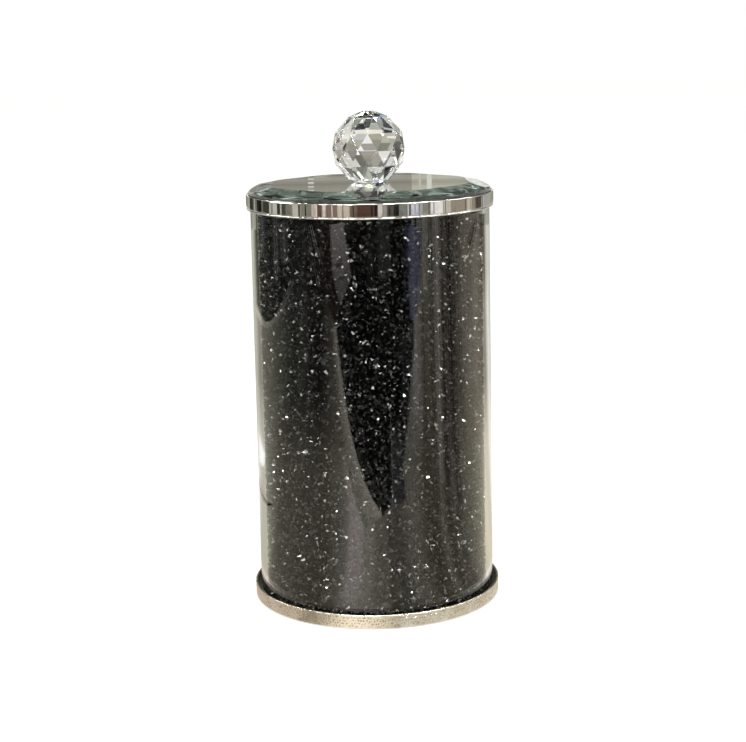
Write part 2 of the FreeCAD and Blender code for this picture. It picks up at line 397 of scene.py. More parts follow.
def chip_shape():
    """The corners and triangles of one shard: the hull of a few points round a centre."""
    count = int(chance.integers(6, 9))
    spots = chance.normal(size=(count, 3))
    spots /= numpy.linalg.norm(spots, axis=1)[:, None]
    spots *= chance.uniform(0.72, 1.0, size=(count, 1))
    form = bmesh.new()
    for spot in spots:
        form.verts.new(spot)
    bmesh.ops.convex_hull(form, input=form.verts)
    loose = [vert for vert in form.verts if not vert.link_faces]
    bmesh.ops.delete(form, geom=loose, context="VERTS")
    bmesh.ops.triangulate(form, faces=form.faces)
    bmesh.ops.recalc_face_normals(form, faces=form.faces)
    form.verts.index_update()
    corners = numpy.array([vert.co[:] for vert in form.verts])
    triangles = numpy.array([[vert.index for vert in face.verts] for face in form.faces])
    form.free()
    return corners, triangles


chip_shapes = [chip_shape() for _ in range(CHIP_SHAPES)]


def random_turns(count):
    """Rotation matrices, evenly spread over all turns."""
    q = chance.normal(size=(count, 4))
    q /= numpy.linalg.norm(q, axis=1)[:, None]
    w, x, y, z = q.T
    return numpy.stack([
        1 - 2 * (y * y + z * z), 2 * (x * y - z * w), 2 * (x * z + y * w),
        2 * (x * y + z * w), 1 - 2 * (x * x + z * z), 2 * (y * z - x * w),
        2 * (x * z - y * w), 2 * (y * z + x * w), 1 - 2 * (x * x + y * y),
    ], -1).reshape(-1, 3, 3)


def chip_layer(name, pitch, smallest, largest, deepest, shallowest):
    """One layer of chips on a jittered grid round the wall, as one mesh.  The depths are of
    the chips' middles, from the tube."""
    rows = round((fill_top - fill_bottom) / (pitch * ROW_PITCH))
    columns = round(2 * math.pi * fill_radius / pitch)
    row, column = numpy.meshgrid(numpy.arange(rows), numpy.arange(columns), indexing="ij")
    count = rows * columns
    angle = (column + 0.5 * (row % 2)).ravel() + chance.uniform(-JITTER, JITTER, count)
    angle *= 2 * math.pi / columns
    height = (row.ravel() + 0.5 + chance.uniform(-JITTER, JITTER, count)) / rows
    height = fill_bottom + height * (fill_top - fill_bottom)
    radius = fill_radius - chance.uniform(shallowest, deepest, count)
    size = numpy.exp(chance.uniform(math.log(smallest), math.log(largest), count))
    stretch = chance.uniform(0.65, 1.2, (count, 3))
    turns = random_turns(count)
    kinds = chance.integers(0, CHIP_SHAPES, count)
    spots = []
    faces = []
    start = 0
    for kind, (corners, triangles) in enumerate(chip_shapes):
        which = numpy.nonzero(kinds == kind)[0]
        local = corners[None] * (size[which, None] * stretch[which])[:, None, :]
        local = numpy.einsum("nij,nkj->nki", turns[which], local)
        across = radius[which, None] + local[..., 0]
        along = angle[which, None] + local[..., 1] / fill_radius
        up = height[which, None] + local[..., 2]
        across = numpy.clip(across, fill_bore, fill_radius)
        up = numpy.clip(up, fill_bottom, fill_top)
        spots.append(numpy.stack([across * numpy.cos(along), across * numpy.sin(along), up],
                                 -1).reshape(-1, 3))
        offsets = start + numpy.arange(len(which)) * len(corners)
        faces.append((triangles[None] + offsets[:, None, None]).reshape(-1, 3))
        start += len(which) * len(corners)
    mesh = bpy.data.meshes.new(name)
    mesh.from_pydata(numpy.concatenate(spots).tolist(), [], numpy.concatenate(faces).tolist())
    return shown(name, mesh)


outer_chips = chip_layer("crystal_chips_outer", 1.62 * MM, 0.7 * MM, 1.35 * MM,
                         1.5 * MM, 0.5 * MM)
inner_chips = chip_layer("crystal_chips_inner", 2.6 * MM, 1.2 * MM, 1.9 * MM,
                         2.7 * MM, 2.0 * MM)

# Crushed black glass: each chip has its own tone from black to grey, paler towards the bottom of
# the jar, and hard facets.  One in ten is silvered, which is what flashes.  The scuffs are drawn
# at 0.8 mm, coarser than real ones.
black_chips, place = finish_named("crushed_black_crystal")
each = node(black_chips, "NewGeometry").outputs["Random Per Island"]
up = node(black_chips, "SeparateXYZ", {"Vector": place}).outputs["Z"]
# The chips' tones are paler towards the bottom of the jar.
low_down = node(black_chips, "MapRange", {
    "Value": up, "From Min": 30 * MM, "From Max": 105 * MM, "To Min": 0.9, "To Max": 0.0})
upper_tones = node(black_chips, "ValToRGB", {"Fac": each}, stops=[
    (0.0, "#040505"), (0.5, "#141615"), (0.9, "#464A4A"), (0.901, "#D6D8D8")])
lower_tones = node(black_chips, "ValToRGB", {"Fac": each}, stops=[
    (0.0, "#0C0D0C"), (0.5, "#2B2D2B"), (0.9, "#5E615F"), (0.901, "#D6D8D8")])
tone = node(black_chips, "MixRGB", {"Fac": low_down, "Color1": upper_tones, "Color2": lower_tones})
silver = node(black_chips, "ValToRGB", {"Fac": each}, stops=[(0.9, 0), (0.901, 1)])
scuffs = node(black_chips, "TexNoise", {"Vector": place, "Scale": 1 / (0.8 * MM), "Detail": 2.0})
gloss = node(black_chips, "ValToRGB", {"Fac": scuffs}, stops=[(0.4, 0.01), (0.75, 0.09)])
shader = node(black_chips, "BsdfPrincipled", {
    "Base Color": tone, "Metallic": silver, "Roughness": gloss, "IOR": 1.58})
node(black_chips, "OutputMaterial", {"Surface": shader})
place_in(outer_chips, black_chips, "jar", "crystal_chips", "crystal_fill")
place_in(inner_chips, black_chips, "jar", "crystal_chips", "crystal_fill")


# ---- Top collar --------------------------------------------------------------------------
# A ring moulded in glossy black polystyrene, glued on the rims of the tube and the liner.
# Its rib reaches down into the gap and keeps the chips in.

low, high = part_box("top_collar")
RIB_GAP = 0.1 * MM
COLLAR_EDGE = 0.3 * MM
collar_radius = high[0]
collar_top = high[2]
rib_bottom = low[2]
collar = turned("top_collar_ring", rounded([
    (liner_bore, tube_top),
    (liner_radius + RIB_GAP, tube_top),
    (liner_radius + RIB_GAP, rib_bottom),
    (tube_bore - RIB_GAP, rib_bottom),
    (tube_bore - RIB_GAP, tube_top),
    (collar_radius, tube_top),
    (collar_radius, collar_top, COLLAR_EDGE),
    (liner_bore, collar_top, COLLAR_EDGE),
]), LINER_STEPS)
place_in(collar, liner_plastic, "jar", "collar_plastic", "top_collar")


# ---- Lid core ----------------------------------------------------------------------------
# A disc moulded in black ABS with a hollow plug below it.  The chrome ring, the tape and the
# glass are all fixed to it.

coat("lid_core", moulded_abs)


# ---- Lid seal ----------------------------------------------------------------------------
# A ring of translucent silicone, moulded with two fins.  It is stretched over the plug and
# kept on by the plug's lip.

# Translucent silicone: milky grey, satin, with light that gets a little way into it.
clear_silicone, place = finish_named("translucent_silicone")
cloud = node(clear_silicone, "TexNoise", {"Vector": place, "Scale": 1 / (3 * MM), "Detail": 2.0})
tone = node(clear_silicone, "ValToRGB", {"Fac": cloud}, stops=[(0.3, "#C3C6C6"), (0.7, "#D4D7D7")])
gloss = node(clear_silicone, "ValToRGB", {"Fac": cloud}, stops=[(0.3, 0.32), (0.7, 0.45)])
shader = node(clear_silicone, "BsdfPrincipled", {
    "Base Color": tone, "Roughness": gloss, "IOR": 1.41, "Subsurface Weight": 0.3,
    "Subsurface Scale": 1 * MM})
node(clear_silicone, "OutputMaterial", {"Surface": shader})
coat("lid_seal", clear_silicone)


# ---- Lid ring ----------------------------------------------------------------------------
# A 6 mm band of brass, rolled with a small bead along its foot and a thin rim that holds the
# glass, polished and chrome plated.  It is pressed over the lid core.

low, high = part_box("lid_ring")
band_radius = high[0]
band_bottom = low[2]
band_top = high[2]
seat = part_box("mirror_backing")[0][2]
BAND_WALL = 1.0 * MM
BAND_STEPS = 384
BEAD_INSET = 0.08 * MM
BEAD_HEIGHT = 0.72 * MM
BEAD_ROUND = 0.34 * MM
GROOVE_DEPTH = 0.45 * MM
GROOVE_HEIGHT = 0.22 * MM
RIM_WALL = 0.5 * MM
band_bore = band_radius - BAND_WALL
bead_radius = band_radius - BEAD_INSET
bead_top = band_bottom + BEAD_HEIGHT
groove_radius = band_radius - GROOVE_DEPTH
groove_top = bead_top + GROOVE_HEIGHT
lid_ring = turned("lid_ring_band", rounded([
    (band_bore, band_bottom),
    (bead_radius, band_bottom, BEAD_ROUND),
    (bead_radius, bead_top, BEAD_ROUND),
    (groove_radius, bead_top),
    (groove_radius, groove_top),
    (band_radius, groove_top, 0.15 * MM),
    (band_radius, band_top, 0.26 * MM),
    (band_radius - RIM_WALL, band_top, 0.1 * MM),
    (band_radius - RIM_WALL, seat),
    (band_bore, seat),
]), BAND_STEPS)

# Bright chrome plate: a hard mirror that takes the tones round it in upright streaks, with
# the faint unevenness of rolled strip and a few hairline rub marks.
chrome, place = finish_named("bright_chrome_plate")
stretch = node(chrome, "Mapping", {"Vector": place, "Scale": (1, 1, 0.25)})
waves = node(chrome, "TexNoise", {"Vector": stretch, "Scale": 1 / (6 * MM), "Detail": 2.0})
skin = node(chrome, "Bump", {"Height": waves, "Strength": 0.25, "Distance": 0.05 * MM})
rub = node(chrome, "TexNoise", {"Vector": place, "Scale": 1 / (2 * MM), "Detail": 5.0})
gloss = node(chrome, "ValToRGB", {"Fac": rub}, stops=[(0.45, 0.03), (0.75, 0.1)])
shader = node(chrome, "BsdfPrincipled", {
    "Base Color": "#D3D2CE", "Metallic": 1.0, "Roughness": gloss, "Normal": skin})
node(chrome, "OutputMaterial", {"Surface": shader})
place_in(lid_ring, chrome, "lid", "lid_ring_chrome", "lid_ring")


# ---- Bonding tape and mirror coat --------------------------------------------------------
# A disc of foam tape on the lid core, and on it the silver coat that is laid on the underside
# of the glass and sealed with grey paint.

coat("bonding_tape", foam_tape)

# Silvered glass: a full mirror, a little greyer in a few faint clouds.
mirror, place = finish_named("silver_mirror_coat")
cloud = node(mirror, "TexNoise", {"Vector": place, "Scale": 1 / (12 * MM), "Detail": 3.0})
tone = node(mirror, "ValToRGB", {"Fac": cloud}, stops=[(0.3, "#E9E9E6"), (0.7, "#F3F3F1")])
shader = node(mirror, "BsdfPrincipled", {"Base Color": tone, "Metallic": 1.0, "Roughness": 0.0})
node(mirror, "OutputMaterial", {"Surface": shader})
coat("mirror_backing", mirror)


# ---- Bevelled glass ----------------------------------------------------------------------
# A round disc of 4 mm float glass.  Eight wide facets and eight narrow ones between them are
# ground and polished round a flat table, and the rim is seamed.  It lies in the chrome ring.

SIDES = 8
GLASS_STEPS = 384
PER_SIDE = GLASS_STEPS // SIDES
FIRST_FACET = math.radians(1.6)
FACET_SLOPE = 0.25
FACET_WIDTH = 9.7 * MM
CORNER_CUT = 3.6 * MM
SEAM_WIDTH = 0.6 * MM
SEAM_DROP = 0.55 * MM
low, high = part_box("bevelled_glass")
glass_radius = high[0] - 0.3 * MM
glass_bottom = low[2] + 0.02 * MM
glass_top = high[2]
arris_radius = glass_radius - SEAM_WIDTH
table_apothem = glass_radius - FACET_WIDTH
half_side = table_apothem * math.tan(math.pi / SIDES)


def table_spot(side, along):
    """A corner of the table on one side's edge, that far along it from its middle."""
    turn = FIRST_FACET + side * 2 * math.pi / SIDES
    return (table_apothem * math.cos(turn) - along * math.sin(turn),
            table_apothem * math.sin(turn) + along * math.cos(turn), glass_top)


form = bmesh.new()
foot_verts = []
wall_verts = []
rim_verts = []
for step in range(GLASS_STEPS):
    angle = FIRST_FACET + (step / GLASS_STEPS - 0.5 / SIDES) * 2 * math.pi
    off = ((step / GLASS_STEPS * SIDES) % 1 - 0.5) * 2 * math.pi / SIDES
    rim = glass_top - FACET_SLOPE * (arris_radius * math.cos(off) - table_apothem)
    x = math.cos(angle)
    y = math.sin(angle)
    foot_verts.append(form.verts.new((glass_radius * x, glass_radius * y, glass_bottom)))
    wall_verts.append(form.verts.new((glass_radius * x, glass_radius * y, rim - SEAM_DROP)))
    rim_verts.append(form.verts.new((arris_radius * x, arris_radius * y, rim)))
table_verts = []
for side in range(SIDES):
    table_verts.append(form.verts.new(table_spot(side, CORNER_CUT - half_side)))
    table_verts.append(form.verts.new(table_spot(side, half_side - CORNER_CUT)))
wall_faces = []
for step in range(GLASS_STEPS):
    following = (step + 1) % GLASS_STEPS
    wall_faces.append(form.faces.new((foot_verts[step], foot_verts[following],
                                      wall_verts[following], wall_verts[step])))
    form.faces.new((wall_verts[step], wall_verts[following], rim_verts[following],
                    rim_verts[step]))
for side in range(SIDES):
    edge = [rim_verts[(side * PER_SIDE + step) % GLASS_STEPS] for step in range(PER_SIDE + 1)]
    form.faces.new(edge + [table_verts[2 * side + 1], table_verts[2 * side]])
    form.faces.new((table_verts[2 * side - 1], edge[0], table_verts[2 * side]))
form.faces.new(table_verts)
form.faces.new(list(reversed(foot_verts)))
bmesh.ops.recalc_face_normals(form, faces=form.faces)
for face in wall_faces:
    face.material_index = 1
mesh = bpy.data.meshes.new("bevelled_glass_disc")
form.to_mesh(mesh)
form.free()
lid_glass_disc = shown("bevelled_glass_disc", mesh, crease=6)

# Float glass: clear on its face, and blue-green where the eye looks a long way through it,
# so the ground facets are dark teal round a bright mirrored table.
float_glass, place = finish_named("green_float_glass")
waves = node(float_glass, "TexNoise", {"Vector": place, "Scale": 1 / (25 * MM), "Detail": 1.0})
skin = node(float_glass, "Bump", {"Height": waves, "Strength": 0.05, "Distance": 0.02 * MM})
shader = node(float_glass, "BsdfPrincipled", {
    "Base Color": (1, 1, 1, 1), "Roughness": 0.0, "IOR": 1.52, "Transmission Weight": 1.0,
    "Normal": skin})
depth = node(float_glass, "VolumeAbsorption", {"Color": (0.87, 0.9, 0.89, 1), "Density": 88.0})
node(float_glass, "OutputMaterial", {"Surface": shader, "Volume": depth})
place_in(lid_glass_disc, float_glass, "lid", "lid_glass", "bevelled_glass")

# Ground glass rim: left from the seaming wheel, a dark teal line with a dim gloss.  Its dark teal
# is partly the green of the glass and partly painted shade, the dark of the glass edge given as
# the rim's own colour.
ground_rim, place = finish_named("ground_glass_rim")
grit = node(ground_rim, "TexNoise", {"Vector": place, "Scale": 1 / (1.5 * MM), "Detail": 3.0})
tone = node(ground_rim, "ValToRGB", {"Fac": grit}, stops=[(0.35, "#2B332F"), (0.65, "#4A524B")])
gloss = node(ground_rim, "ValToRGB", {"Fac": grit}, stops=[(0.3, 0.12), (0.7, 0.25)])
shader = node(ground_rim, "BsdfPrincipled", {"Base Color": tone, "Roughness": gloss, "IOR": 1.52})
node(ground_rim, "OutputMaterial", {"Surface": shader})
lid_glass_disc.data.materials.append(ground_rim)


# ---- Knob bond ---------------------------------------------------------------------------
# A film of clear UV-cured adhesive between the flat of the ball and the glass.

# Cured adhesive: clear and glossy, with a few slow waves.
clear_adhesive, place = finish_named("clear_uv_adhesive")
waves = node(clear_adhesive, "TexNoise", {"Vector": place, "Scale": 1 / (2 * MM)})
skin = node(clear_adhesive, "Bump", {"Height": waves, "Strength": 0.1, "Distance": 0.05 * MM})
shader = node(clear_adhesive, "BsdfPrincipled", {
    "Base Color": (1, 1, 1, 1), "Roughness": 0.02, "IOR": 1.48, "Transmission Weight": 1.0,
    "Normal": skin})
node(clear_adhesive, "OutputMaterial", {"Surface": shader})
coat("knob_bond", clear_adhesive)


# ---- Crystal knob ------------------------------------------------------------------------
# A 30 mm ball of clear crystal, cut by machine with bands of flat triangles and polished, on
# a small flat that is glued to the lid.

KNOB_RADIUS = 15.0 * MM
FLAT_HEIGHT = 13.6 * MM
POLISHED_EDGE = 0.05 * MM
KNOB_SIDES = 12
KNOB_TURN = 28.0
TABLE_LATITUDE = 80.0
low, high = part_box("crystal_knob")
knob_flat = low[2] + 0.01 * MM
knob_centre = low[2] + FLAT_HEIGHT
flat_latitude = -math.degrees(math.asin(FLAT_HEIGHT / KNOB_RADIUS))
band_latitudes = [flat_latitude, -57.0, -26.0, 0.0, 26.0, 57.0]


def cut_corners(form, latitude, count, turn):
    """Corners of the cut ball at one latitude."""
    corners = []
    for step in range(count):
        angle = math.radians(turn + step * 360 / count)
        flat = KNOB_RADIUS * math.cos(math.radians(latitude))
        height = knob_centre + KNOB_RADIUS * math.sin(math.radians(latitude))
        corners.append(form.verts.new((flat * math.cos(angle), flat * math.sin(angle),
                                       max(height, knob_flat))))
    return corners


form = bmesh.new()
bands = []
for row, latitude in enumerate(band_latitudes):
    bands.append(cut_corners(form, latitude, KNOB_SIDES, KNOB_TURN + row * 180 / KNOB_SIDES))
form.faces.new(list(reversed(bands[0])))
for lower, upper in zip(bands, bands[1:]):
    for here in range(KNOB_SIDES):
        following = (here + 1) % KNOB_SIDES
        form.faces.new((lower[here], lower[following], upper[here]))
        form.faces.new((upper[here], lower[following], upper[following]))
crown = bands[-1]
table = cut_corners(form, TABLE_LATITUDE, KNOB_SIDES // 2,
                    KNOB_TURN + len(bands) * 180 / KNOB_SIDES)
for side, corner in enumerate(table):
    left = crown[2 * side]
    right = crown[2 * side + 1]
    next_left = crown[(2 * side + 2) % KNOB_SIDES]
    next_corner = table[(side + 1) % len(table)]
    form.faces.new((left, right, corner))
    form.faces.new((right, next_left, next_corner, corner))
form.faces.new(table)
bmesh.ops.recalc_face_normals(form, faces=form.faces)
bmesh.ops.bevel(form, geom=form.edges[:], offset=POLISHED_EDGE, segments=1, affect="EDGES",
                profile=0.5, clamp_overlap=True)
mesh = bpy.data.meshes.new("crystal_ball_knob")
form.to_mesh(mesh)
form.free()
knob = shown("crystal_ball_knob", mesh)

# Optical crystal: colourless, with hard facets that throw back light and dark at random.
optical_crystal, place = finish_named("optical_crystal")
smear = node(optical_crystal, "TexNoise", {"Vector": place, "Scale": 1 / (8 * MM), "Detail": 2.0})
skin = node(optical_crystal, "Bump", {"Height": smear, "Strength": 0.1, "Distance": 0.01 * MM})
shader = node(optical_crystal, "BsdfPrincipled", {
    "Base Color": (1, 1, 1, 1), "Roughness": 0.0, "IOR": 1.54, "Transmission Weight": 1.0,
    "Normal": skin})
node(optical_crystal, "OutputMaterial", {"Surface": shader})
place_in(knob, optical_crystal, "lid", "knob_crystal", "crystal_knob")


# ---- Floor and backdrop ------------------------------------------------------------------
# Not part of the object: a plain white floor that runs on into a white surround.

# Matt white paper: lifts to white for the eye, for gloss and for glass, and keeps the shadow.
white_floor = plain_finish("white_studio_paper")
rays = node(white_floor, "LightPath")
seen = node(white_floor, "Math", {
    0: rays.outputs["Is Glossy Ray"], 1: rays.outputs["Is Transmission Ray"]}, operation="MAXIMUM")
lift = node(white_floor, "Math", {0: seen, 1: 0.3}, operation="MULTIPLY")
lift = node(white_floor, "Math", {
    0: rays.outputs["Is Camera Ray"], 1: 0.58, 2: lift}, operation="MULTIPLY_ADD")
matt = node(white_floor, "BsdfDiffuse", {"Color": "#E4E3E1"})
glow = node(white_floor, "Emission", {"Color": (1, 1, 1, 1), "Strength": lift})
both = node(white_floor, "AddShader", {0: matt, 1: glow})
node(white_floor, "OutputMaterial", {"Surface": both})


def staged(name, corners, material):
    """A flat stage piece from its corners in millimetres."""
    mesh = bpy.data.meshes.new(name)
    mesh.from_pydata([[part * MM for part in corner] for corner in corners], [],
                     [list(range(len(corners)))])
    mesh.materials.append(material)
    made = shown(name, mesh)
    return made


FLOOR = 6000
staged("floor", [(-FLOOR, -FLOOR, 0), (FLOOR, -FLOOR, 0), (FLOOR, FLOOR, 0), (-FLOOR, FLOOR, 0)],
       white_floor)

# The surround: full white for the eye, for gloss and for glass, and dimmer as a light.
world = bpy.data.worlds.new("white_surround")
bpy.context.scene.world = world
world.use_nodes = True
world.node_tree.nodes.clear()
rays = node(world, "LightPath")
seen = node(world, "Math", {
    0: rays.outputs["Is Camera Ray"], 1: rays.outputs["Is Glossy Ray"]}, operation="MAXIMUM")
seen = node(world, "Math", {0: seen, 1: rays.outputs["Is Transmission Ray"]}, operation="MAXIMUM")
level = node(world, "MapRange", {"Value": seen, "To Min": 0.55, "To Max": 1.0})
sky = node(world, "Background", {"Color": (1, 1, 1, 1), "Strength": level})
node(world, "OutputWorld", {"Surface": sky})


# ---- Studio cards ------------------------------------------------------------------------
# Not part of the object: painted cards that only gloss and glass see.  They lie and stand
# round the jar and give its tube, chrome and crystal something to reflect.

def painted(name, patches, strength=1.0):
    """Flat cards as one mesh.  Each patch is its corners in millimetres and a colour code, or
    a code for each corner."""
    mesh = bpy.data.meshes.new(name)
    spots = []
    faces = []
    tints = []
    for corners, codes in patches:
        faces.append(list(range(len(spots), len(spots) + len(corners))))
        spots += [[part * MM for part in corner] for corner in corners]
        tints += [codes] * len(corners) if isinstance(codes, str) else codes
    mesh.from_pydata(spots, [], faces)
    layer = mesh.color_attributes.new("tint", "FLOAT_COLOR", "CORNER")
    for place, code in zip(layer.data, tints):
        place.color = linear(code)
    material = plain_finish("paint_" + name)
    tint = node(material, "VertexColor", layer_name="tint")
    light = node(material, "Emission", {"Color": tint, "Strength": strength})
    node(material, "OutputMaterial", {"Surface": light})
    mesh.materials.append(material)
    made = shown(name, mesh)
    made.visible_camera = False
    made.visible_diffuse = False
    made.visible_shadow = False
    made.visible_volume_scatter = False


def polar(around, radius, height=0.1):
    """A point from its angle in degrees, from the front towards the right, and its distance."""
    angle = math.radians(around)
    return (radius * math.sin(angle), -radius * math.cos(angle), height)


def sector(start, end, near, far, height=0.1, far_height=None):
    """Corners of a card between two angles and two distances.  It lies flat at its height, or
    rises to another at its far edge."""
    back = height if far_height is None else far_height
    return [polar(start, near, height), polar(end, near, height),
            polar(end, far, back), polar(start, far, back)]


def hoop(code, near, far, height, far_height=None):
    """A full turn of cards in one colour, each of which takes up ten degrees."""
    return [(sector(turn, turn + 10, near, far, height, far_height), code)
            for turn in range(0, 360, 10)]


def lying(level, corners):
    """Corners on the table, each level a little higher than the one below."""
    return [(x, y, 0.1 * level) for x, y in corners]


def fanned(level, corners):
    """The same for corners that are given by their angles and distances."""
    return [polar(around, radius, 0.1 * level) for around, radius in corners]


# The table top, spoke by spoke: the angle, and the tones near the jar, further out and far.
SPOKES = [
    (-150, "#E0DCD0", "#ACA89C", "#9A978A"), (-144, "#BCB8AA", "#7E7A6E", "#5E5A50"),
    (-132, "#B8B5A6", "#949084", "#928E80"),
    (-116, "#BAB7A4", "#9E9A88", "#A09C8A"), (-102, "#9F9B8A", "#8C897A", "#8A877A"),
    (-94, "#94917E", "#7C7A6E", "#74766C"), (-88, "#989482", "#606156", "#4E5248"),
    (-80, "#9F9A8A", "#44453D", "#32352E"), (-74, "#9B9686", "#55564D", "#42453B"),
    (-66, "#989282", "#5A574D", "#3E3E36"), (-60, "#9A9484", "#3C3A33", "#2C2B26"),
    (-50, "#9A9282", "#26241E", "#383530"), (-42, "#9D9686", "#726D5F", "#231A14"),
    (-34, "#A39B8B", "#A59E8E", "#3A3028"), (-22, "#A39B8B", "#8A8472", "#141414"),
    (0, "#9D9486", "#141414", "#141414"), (20, "#938F82", "#3E3E38", "#141414"),
    (27, "#C0BAAA", "#737066", "#3C3C3D"), (33, "#CAC2B2", "#A29E90", "#4A5060"),
    (38, "#BDB5A4", "#D8D4C8", "#A6AAC4"), (44, "#928D7A", "#D2CCBE", "#E0DEE0"),
    (49, "#827E6B", "#9E9886", "#E6E0D2"), (55, "#88826F", "#968D7A", "#C1B9A8"),
    (60, "#CFCAB7", "#A69E90", "#ADA89C"), (63, "#A7A391", "#D0C6B7", "#BCB8AD"),
    (66, "#78725F", "#C2BAAA", "#E4DFD3"), (69, "#8B8274", "#847C6C", "#D0C7BD"),
    (74, "#988E82", "#6E6358", "#7C7368"), (78, "#8C8277", "#6A6054", "#6C655A"),
    (81, "#93897E", "#54493E", "#857B70"), (84, "#B0A799", "#6C6257", "#8A8276"),
    (87, "#B6AD9C", "#988F83", "#8E877A"), (94, "#BEB69F", "#A0978A", "#988F82"),
    (99, "#C4BCA5", "#CFC4B2", "#C6BCAB"), (110, "#CEC8B0", "#CEC4AE", "#C4BAA8"),
    (120, "#D6CEB6", "#C0B6A2", "#C2B8A5"), (126, "#DAD2BC", "#9A9082", "#9A9082"),
    (131, "#D6CEBA", "#968C7E", "#8E8476"), (134, "#D0C8B6", "#8A8074", "#332C23"),
    (144, "#C4BEAE", "#7E766A", "#2A241C"), (147, "#F4F0E4", "#DAD6CA", "#D8D2C8"),
    (152, "#F4F0E4", "#E8E5DA", "#B4AEA6"), (156, "#F4F1E6", "#F0EEE6", "#EEEAE2"),
    (163, "#F4F1E6", "#9A9D8C", "#A9A996"), (170, "#F4F1E6", "#C9CCCE", "#B4B3A2"),
    (175, "#F6F4EC", "#B2B0A4", "#A9A996"), (178, "#F6F4EC", "#F6F4F0", "#F2F0EA"),
    (183, "#F6F4EC", "#F6F4F0", "#F2F0EA"), (186, "#F4F1E6", "#A3A390", "#8D8D7C"),
    (194, "#F4F1E6", "#A2A48E", "#9A9C88"), (200, "#F4F1E6", "#C3C1B2", "#DADBD0"),
    (204, "#F2F0E4", "#C4C1B6", "#B0B1A4"), (210, "#F0EEE2", "#ACA89C", "#9A978A"),
]
# The distances at which each of a spoke's tones holds, and the tone's place in the spoke.
RINGS = [(20, 1), (270, 1), (450, 2), (750, 2), (930, 3), (2400, 3)]
table = []
for first, second in zip(SPOKES, SPOKES[1:]):
    for (near, tone_near), (far, tone_far) in zip(RINGS, RINGS[1:]):
        table.append((sector(first[0], second[0], near, far),
                      [first[tone_near], second[tone_near], second[tone_far], first[tone_far]]))

# A pale band close round the jar, warmer on its left.
table += hoop("#F2EDE2", 45, 66, 0.12)[:18] + hoop("#E2D4C8", 45, 66, 0.12)[18:]
painted("table_top", table)

# The glare of a lamp on the table in front, close to the jar and further out, and along the
# table's near edge.
GLARE = [(-40, "#7A7468", "#837D6F"), (-30, "#8A8478", "#989185"), (-22, "#C0B8AC", "#E2D6D0"),
         (-16, "#D8D0C4", "#E2D6D0"), (-10, "#DED6CA", "#C2BAAE"), (0, "#CAC2B6", "#9A9387"),
         (10, "#827C70", "#837D6F")]
GLARE_RINGS = [(45, 1), (62, 1), (78, 2), (330, 2)]
glare = []
for first, second in zip(GLARE, GLARE[1:]):
    for (near, tone_near), (far, tone_far) in zip(GLARE_RINGS, GLARE_RINGS[1:]):
        glare.append((sector(first[0], second[0], near, far, 0.15),
                      [first[tone_near], second[tone_near], second[tone_far], first[tone_far]]))
glare.append(([(20, -199, 0.5), (-400, -590, 0.5), (-430, -556, 0.5), (-30, -176, 0.5)],
              ["#DCD4C6", "#C8C0B2", "#756F62", "#989185"]))
painted("table_glare", glare, strength=2.0)

# What lies on the table round the jar and beyond it: dark and pale shapes, each a little above
# the one it covers.
painted("floor_shapes", [
    (lying(2, [(18, -197), (45, -209), (120, -262), (260, -390), (600, -640), (1500, -1500),
               (0, -2400), (-1300, -1420), (-400, -588)]), "#0B0B0C"),
    (lying(3, [(-395, -600), (-330, -640), (-215, -900), (-260, -930)]), "#2C301F"),
    (fanned(5, [(15, 214), (26.5, 222), (24, 370), (15, 350)]), "#56585C"),
    (fanned(6, [(14.6, 208), (15.6, 208), (15.4, 420), (14.8, 420)]), "#B4B4B0"),
    (lying(3, [(180, -335), (215, -360), (330, -600), (290, -610)]), "#35373A"),
    (lying(3, [(-60, -900), (40, -900), (70, -1700), (-110, -1700)]), "#31362E"),
    (lying(3, [(110, -950), (330, -950), (460, -1500), (160, -1500)]), "#4E524C"),
    (lying(3, [(-390, -580), (-1500, -900), (-1100, -1500), (-430, -900)]), "#3A2E27"),
    (lying(4, [(-400, -700), (-620, -830), (-860, -1100), (-620, -1280), (-430, -1080),
               (-310, -930)]), ["#8A8480", "#C8C0BA", "#F6ECE6", "#F6ECE6", "#F0E6E0", "#9C9692"]),
    (lying(5, [(-590, -870), (-560, -850), (-470, -955), (-520, -985)]), "#77706E"),
    (lying(5, [(-520, -800), (-490, -790), (-360, -930), (-400, -950)]), "#8A8482"),
    (lying(4, [(430, -590), (520, -560), (980, -860), (860, -1100), (740, -1040),
               (520, -740)]), "#9498BC"),
    (lying(5, [(520, -740), (590, -800), (850, -1190), (700, -1130)]), "#454C63"),
    (lying(2, [(-390, 640), (-930, -130), (-2600, -200), (-2600, 1600), (-900, 1700)]),
     ["#38382F", "#2C2E2B", "#1A1A1E", "#202022", "#44453A"]),
    (lying(3, [(-944, -160), (-918, -152), (-372, 632), (-405, 645)]), "#BDBAAB"),
    (lying(4, [(-1180, -750), (-780, -720), (-780, -702), (-1180, -722)]), "#F2F0EC"),
    (lying(4, [(-1194, -650), (-693, -590), (-693, -580), (-1194, -632)]), "#D0D0CC"),
    (lying(4, [(-1250, 760), (-850, 640), (-800, 760), (-1180, 880)]), "#6C6C74"),
    (lying(4, [(-1400, 120), (-1050, 60), (-1050, -60), (-1400, -80)]), "#8C888A"),
    (lying(4, [(1030, 360), (1120, 330), (1260, 700), (1140, 720)]), "#665A4E"),
    (fanned(4, [(-106, 900), (-99, 900), (-98, 1900), (-107, 1900)]), "#5C5D5A"),
    (fanned(5, [(-103.2, 960), (-101.8, 960), (-101.4, 1900), (-103.6, 1900)]), "#B4B4B0"),
    (fanned(4, [(-150, 236), (-134, 232), (-130, 262), (-150, 312)]), "#FFFFFF"),
    (fanned(4, [(-154, 188), (-112, 172), (-112, 177), (-154, 197)]), "#12100E"),
    (sector(187, 197, 205, 430, 0.2), "#C2BFB4"),
    (sector(197, 205, 205, 300, 0.2), ["#C2BFB4", "#EEECE2", "#DAD7CC", "#C2BFB4"]),
    (sector(197, 213, 300, 430, 0.2), ["#C2BFB4", "#E6E3D8", "#BEBBB0", "#BEBBB0"]),
])

